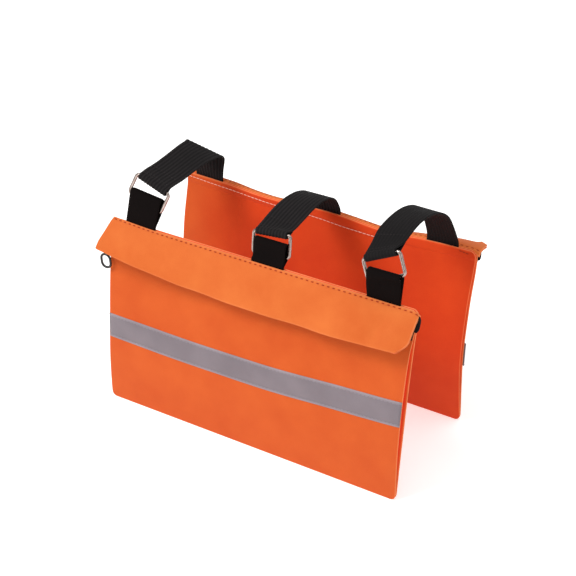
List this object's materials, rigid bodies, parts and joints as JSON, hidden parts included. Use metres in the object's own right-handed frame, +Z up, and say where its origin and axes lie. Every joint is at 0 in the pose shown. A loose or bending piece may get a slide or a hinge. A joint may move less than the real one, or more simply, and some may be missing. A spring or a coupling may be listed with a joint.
{
  "type": "sandbag",
  "caption": "Saddle sandbag for light stands: flat zipped pouches joined by elastic straps with wire rings and webbing tabs, weather flaps over the zips and reflective tape.",
  "frame": {"origin": "on the floor, at the centre of the bounding box", "axes": "+X along the pouches, +Y from the front pouch to the rear pouch, +Z up"},
  "size_m": [0.313, 0.176, 0.2406],
  "materials": {
    "orange_oxford": "matte",
    "liner_cloth": "matte",
    "dry_sand": "matte",
    "reflective_tape": "satin",
    "zip_tape": "matte",
    "zip_coil": "satin",
    "black_metal": "satin",
    "ribbed_elastic": "matte",
    "plain_webbing": "matte",
    "plated_wire": "polished"
  },
  "bodies": {
    "straps": {"left_strap": "ribbed_elastic", "middle_strap": "ribbed_elastic", "right_strap": "ribbed_elastic"},
    "rear_pouch": {"rear_outer_panel": "orange_oxford", "rear_inner_panel": "orange_oxford", "rear_seam_allowance": "orange_oxford", "rear_liner_bag": "liner_cloth", "rear_sand_fill": "dry_sand", "rear_reflective_tape": "reflective_tape", "rear_zip_tape": "zip_tape", "rear_zip_coil": "zip_coil"},
    "rear_flap": {"rear_flap": "orange_oxford"},
    "rear_zip_slider": {"rear_zip_slider": "black_metal"},
    "rear_zip_pull": {"rear_zip_pull": "black_metal"},
    "left_ring": {"left_ring": "plated_wire"},
    "middle_ring": {"middle_ring": "plated_wire"},
    "right_ring": {"right_ring": "plated_wire"},
    "front_tabs": {"left_tab": "plain_webbing", "middle_tab": "plain_webbing", "right_tab": "plain_webbing"},
    "front_pouch": {"front_outer_panel": "orange_oxford", "front_inner_panel": "orange_oxford", "front_seam_allowance": "orange_oxford", "front_liner_bag": "liner_cloth", "front_sand_fill": "dry_sand", "front_reflective_tape": "reflective_tape", "front_zip_tape": "zip_tape", "front_zip_coil": "zip_coil"},
    "front_flap": {"front_flap": "orange_oxford"},
    "front_zip_slider": {"front_zip_slider": "black_metal"},
    "front_zip_pull": {"front_zip_pull": "black_metal"}
  },
  "joints": [
    {"name": "rear_pouch_swing", "type": "hinge", "parent": "straps", "child": "rear_pouch", "pos_m": [0, 0.0606, 0.1857], "axis": [1, 0, 0], "range_deg": [-16, 35]},
    {"name": "rear_flap_lift", "type": "hinge", "parent": "rear_pouch", "child": "rear_flap", "pos_m": [0, 0.0646, 0.1848], "axis": [1, 0, 0], "range_deg": [-5, 65]},
    {"name": "rear_zip_travel", "type": "slide", "parent": "rear_pouch", "child": "rear_zip_slider", "axis": [1, 0, 0], "range_m": [0, 0.28]},
    {"name": "rear_pull_swing", "type": "hinge", "parent": "rear_zip_slider", "child": "rear_zip_pull", "pos_m": [-0.153, 0.07216, 0.167], "axis": [0, 1, 0], "range_deg": [-90, 90]},
    {"name": "middle_ring_swing", "type": "hinge", "parent": "straps", "child": "middle_ring", "pos_m": [0.0075, -0.0509, 0.2099], "axis": [0.9945, 0, 0.1045], "range_deg": [-20, 20]},
    {"name": "left_ring_swing", "type": "hinge", "parent": "straps", "child": "left_ring", "pos_m": [-0.1155, -0.048, 0.2215], "axis": [0.9397, 0, -0.342], "range_deg": [-20, 20]},
    {"name": "right_ring_swing", "type": "hinge", "parent": "straps", "child": "right_ring", "pos_m": [0.1113, -0.057, 0.2224], "axis": [0.891, 0, 0.454], "range_deg": [-20, 20]},
    {"name": "front_tabs_swing", "type": "hinge", "parent": "middle_ring", "child": "front_tabs", "pos_m": [0.00949, -0.0553, 0.19101], "axis": [0.9945, 0, 0.1045], "range_deg": [-20, 20]},
    {"name": "front_pouch_swing", "type": "hinge", "parent": "front_tabs", "child": "front_pouch", "pos_m": [0, -0.0606, 0.1857], "axis": [-1, 0, 0], "range_deg": [-16, 35]},
    {"name": "front_flap_lift", "type": "hinge", "parent": "front_pouch", "child": "front_flap", "pos_m": [0, -0.0646, 0.1848], "axis": [-1, 0, 0], "range_deg": [-5, 65]},
    {"name": "front_zip_travel", "type": "slide", "parent": "front_pouch", "child": "front_zip_slider", "axis": [1, 0, 0], "range_m": [0, 0.28]},
    {"name": "front_pull_swing", "type": "hinge", "parent": "front_zip_slider", "child": "front_zip_pull", "pos_m": [-0.153, -0.07434, 0.167], "axis": [0, 1, 0], "range_deg": [-90, 90]}
  ],
  "couplings": [
    {"joint": "left_ring_swing", "follows": "middle_ring_swing", "ratio": 1},
    {"joint": "right_ring_swing", "follows": "middle_ring_swing", "ratio": 1},
    {"joint": "front_tabs_swing", "follows": "middle_ring_swing", "ratio": -1}
  ]
}
